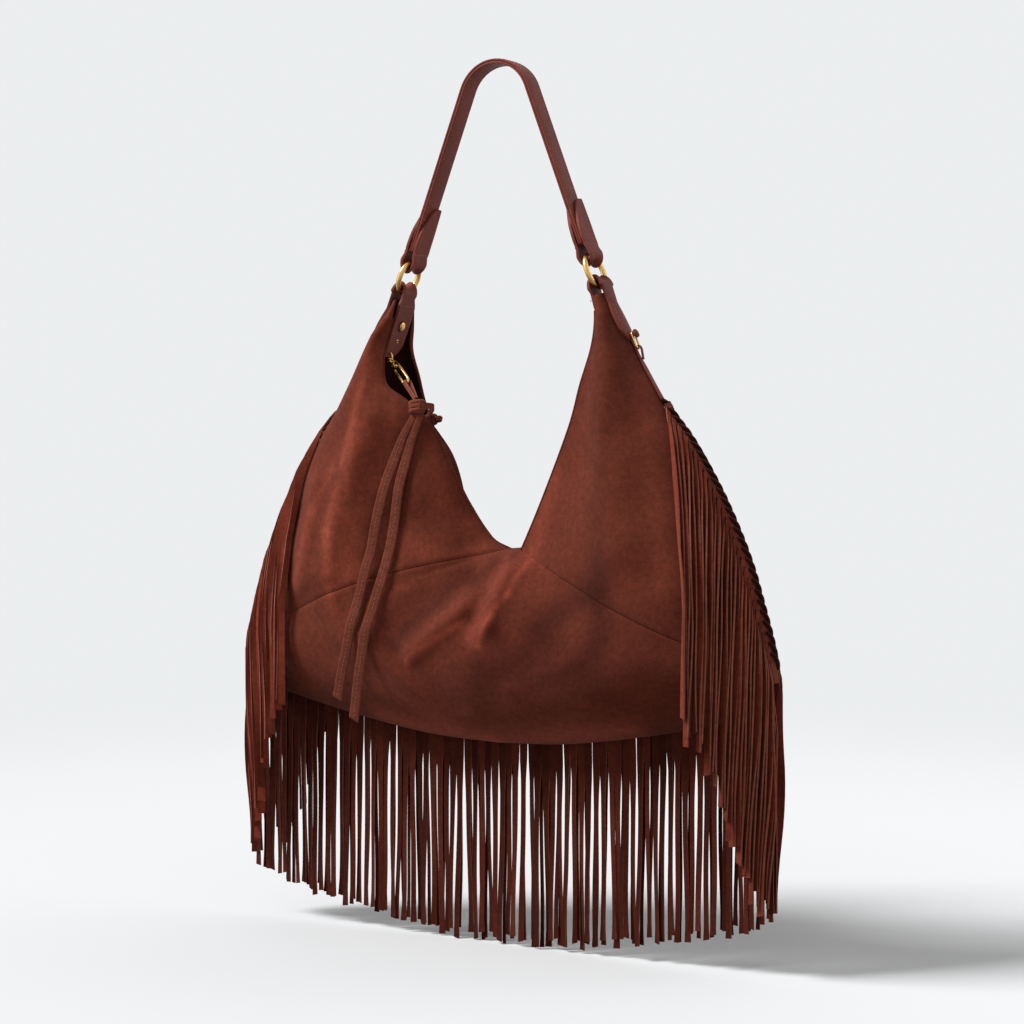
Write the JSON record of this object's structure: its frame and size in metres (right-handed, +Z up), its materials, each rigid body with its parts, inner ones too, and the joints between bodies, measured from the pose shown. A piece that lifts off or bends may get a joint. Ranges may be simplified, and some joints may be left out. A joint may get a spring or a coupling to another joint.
{
  "type": "fringed suede shoulder bag",
  "caption": "Slouchy suede shoulder bag with yoke seams, laced side fringe, bottom fringe and suede ties, hung from a leather strap on brass rings.",
  "frame": {"origin": "underside of the strap's crown, at its middle, where a hook or a shoulder carries the bag", "axes": "+X across the bag to the right seen from its front, -Y the front, +Z up"},
  "size_m": [0.4668, 0.1141, 0.6617],
  "materials": {
    "leather": "satin russet strap leather with stitched edges",
    "suede": "napped rust-brown suede",
    "suede_fringe": "cut suede strands and thongs, darker at the edges",
    "brass": "polished warm brass"
  },
  "bodies": {
    "strap": {"strap": "leather", "strap_tab_left": "leather", "strap_tab_right": "leather"},
    "ring_left": {"ring_left": "brass"},
    "ring_right": {"ring_right": "brass"},
    "clip_hook": {"clasp_hook": "brass"},
    "clip_gate": {"clasp_gate": "brass"},
    "bag": {"bag_tab_left": "leather", "bag_tab_right": "leather", "tab_rivet_left": "brass", "tab_rivet_right": "brass", "tab_stud_right": "leather", "side_ring_right": "brass", "side_strip_right": "leather", "front_left_wing": "suede", "front_right_wing": "suede", "front_base_panel": "suede", "back_left_wing": "suede", "back_right_wing": "suede", "back_base_panel": "suede", "front_mouth_piping": "suede", "back_mouth_piping": "suede", "side_lacing_left": "suede_fringe", "side_lacing_right": "suede_fringe", "side_fringe_left": "suede_fringe", "side_fringe_right": "suede_fringe", "bottom_fringe": "suede_fringe", "clasp_ring": "brass", "clasp_eye": "brass", "tie_loop": "suede_fringe", "tie_keeper": "suede_fringe", "tie_bridge": "suede_fringe", "inner_keeper": "suede_fringe", "keeper_knob": "suede_fringe", "tie_strand_left": "suede_fringe", "tie_strand_right": "suede_fringe", "tie_strand_inner": "suede_fringe"}
  },
  "joints": [
    {"name": "bag_swing", "type": "hinge", "parent": "strap", "child": "bag", "pos_m": [0, 0, -0.15534], "axis": [1, 0, 0], "range_deg": [-36, 36]},
    {"name": "ring_left_turn", "type": "hinge", "parent": "strap", "child": "ring_left", "pos_m": [-0.08057, 0, -0.15534], "axis": [1, 0, 0], "range_deg": [-18, 18]},
    {"name": "ring_right_turn", "type": "hinge", "parent": "strap", "child": "ring_right", "pos_m": [0.08057, 0, -0.15534], "axis": [1, 0, 0], "range_deg": [-18, 18]},
    {"name": "clip_swivel", "type": "hinge", "parent": "bag", "child": "clip_hook", "pos_m": [-0.09379, -0.0045, -0.21826], "axis": [0.7218, -0.4547, -0.5219], "range_deg": [-20, 20]},
    {"name": "clip_gate_hinge", "type": "hinge", "parent": "clip_hook", "child": "clip_gate", "pos_m": [-0.08764, -0.00846, -0.22566], "axis": [-0.5193, -0.8542, 0.026], "range_deg": [0, 16], "stiffness_Nm_per_rad": 0.002, "springref_deg": -11.46}
  ],
  "couplings": [
    {"joint": "ring_left_turn", "follows": "bag_swing", "ratio": 0.5},
    {"joint": "ring_right_turn", "follows": "bag_swing", "ratio": 0.5}
  ]
}
